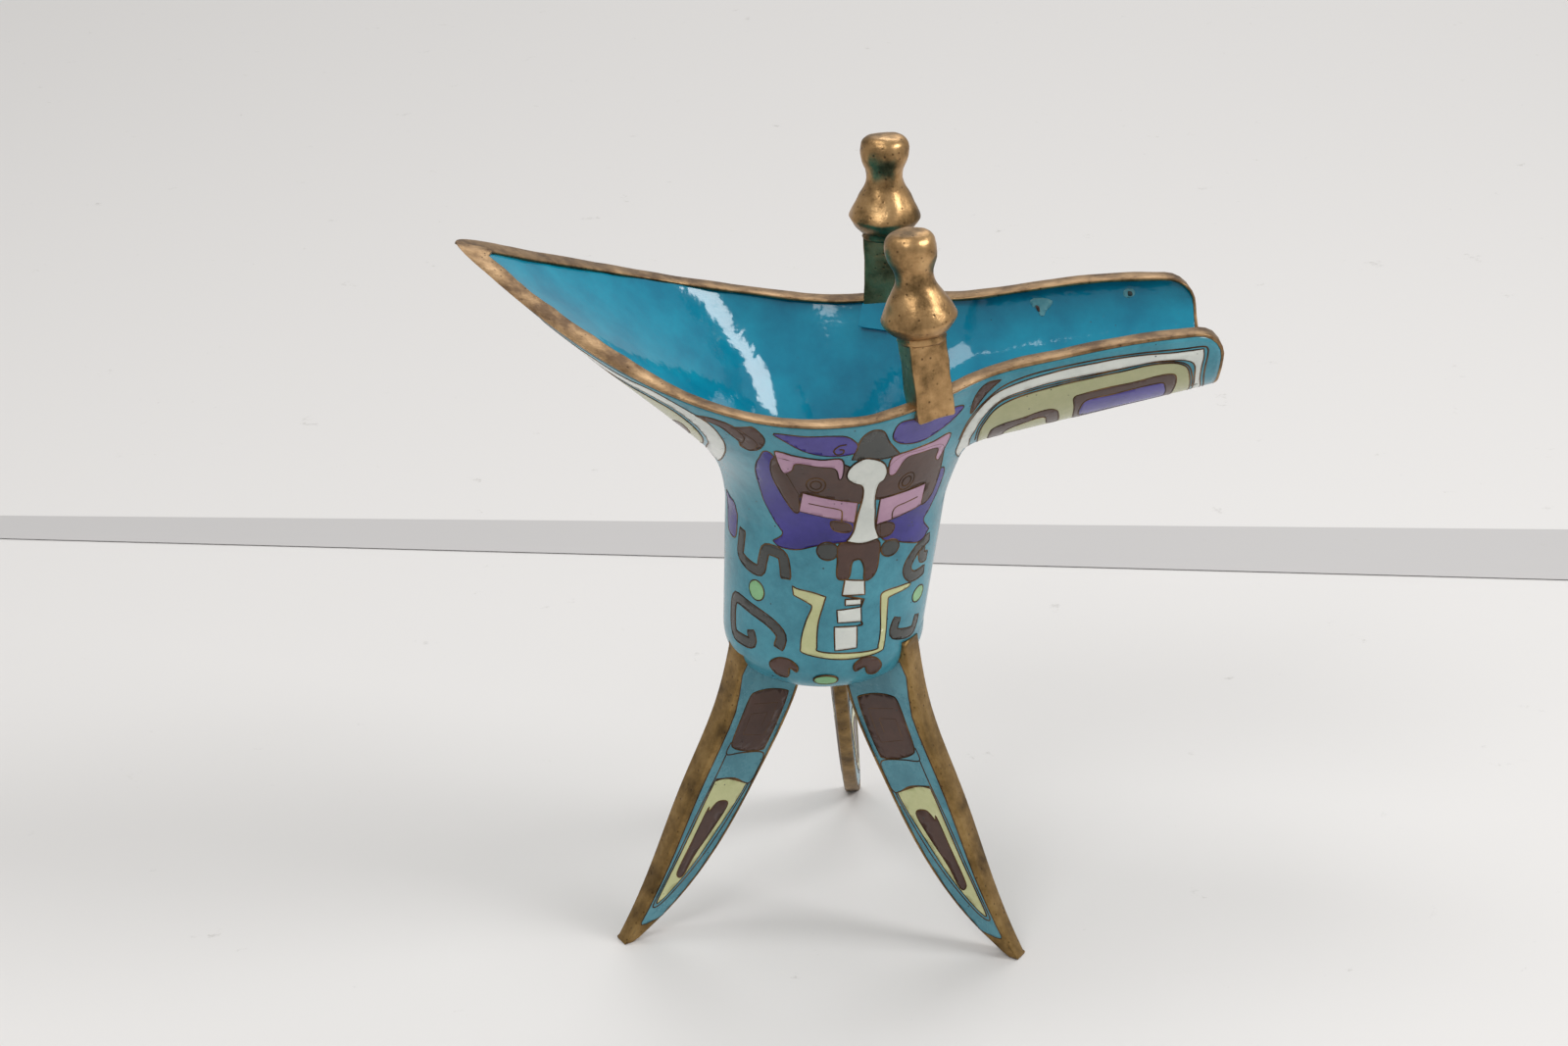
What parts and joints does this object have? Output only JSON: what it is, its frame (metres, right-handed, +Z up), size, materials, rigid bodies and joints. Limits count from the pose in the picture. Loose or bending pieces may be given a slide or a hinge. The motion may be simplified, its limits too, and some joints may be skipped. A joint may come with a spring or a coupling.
{
  "type": "jue vessel",
  "caption": "Small cloisonne enamel tripod wine cup with a trough spout, a pointed tail, capped posts on the rim and blade legs.",
  "frame": {"origin": "on the plane that the feet stand on, under the middle of the cup", "axes": "+Z up, +X towards the spout, -Y the side with the mask that the picture shows"},
  "size_m": [0.1512, 0.0878, 0.16],
  "materials": {
    "copper_sheet": "dull copper sheet",
    "gilt_bronze": "worn gilt bronze",
    "interior_enamel": "glossy turquoise enamel",
    "cloisonne_enamel": "polished cloisonne enamel with bronze wires",
    "foot_enamel": "glossy turquoise enamel"
  },
  "bodies": {
    "root": {"body_copper": "copper_sheet", "rim_lip": "gilt_bronze", "leg_left": "gilt_bronze", "leg_right": "gilt_bronze", "leg_back": "gilt_bronze", "post_near": "gilt_bronze", "post_far": "gilt_bronze", "handle": "gilt_bronze", "inner_enamel": "interior_enamel", "outer_enamel": "cloisonne_enamel", "leg_left_front_enamel": "cloisonne_enamel", "leg_left_rear_enamel": "cloisonne_enamel", "leg_right_front_enamel": "cloisonne_enamel", "leg_right_rear_enamel": "cloisonne_enamel", "leg_back_front_enamel": "cloisonne_enamel", "leg_back_rear_enamel": "cloisonne_enamel", "post_near_foot": "foot_enamel", "post_far_foot": "foot_enamel"}
  },
  "joints": []
}
